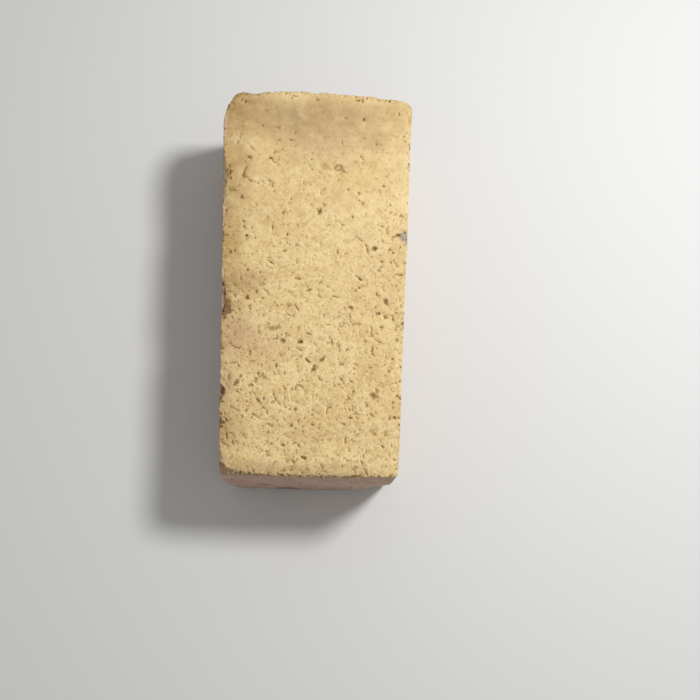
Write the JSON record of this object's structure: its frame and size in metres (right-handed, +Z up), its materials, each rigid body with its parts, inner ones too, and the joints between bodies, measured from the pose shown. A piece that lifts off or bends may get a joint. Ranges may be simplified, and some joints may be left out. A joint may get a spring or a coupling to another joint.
{
  "type": "clay brick",
  "caption": "Tapered fireclay brick, pressed in one piece, with bowed ends, rubbed corners and chipped edges, for lining and arching a kiln, oven or stove.",
  "frame": {"origin": "middle of the lower bed, at the centre of the brick's bounding box", "axes": "+X across the brick, +Y along it towards the wide end, +Z up from the lower bed to the upper bed"},
  "size_m": [0.1133, 0.232, 0.065],
  "materials": {
    "fireclay": "matt, porous, unglazed"
  },
  "bodies": {
    "root": {"brick": "fireclay"}
  },
  "joints": []
}
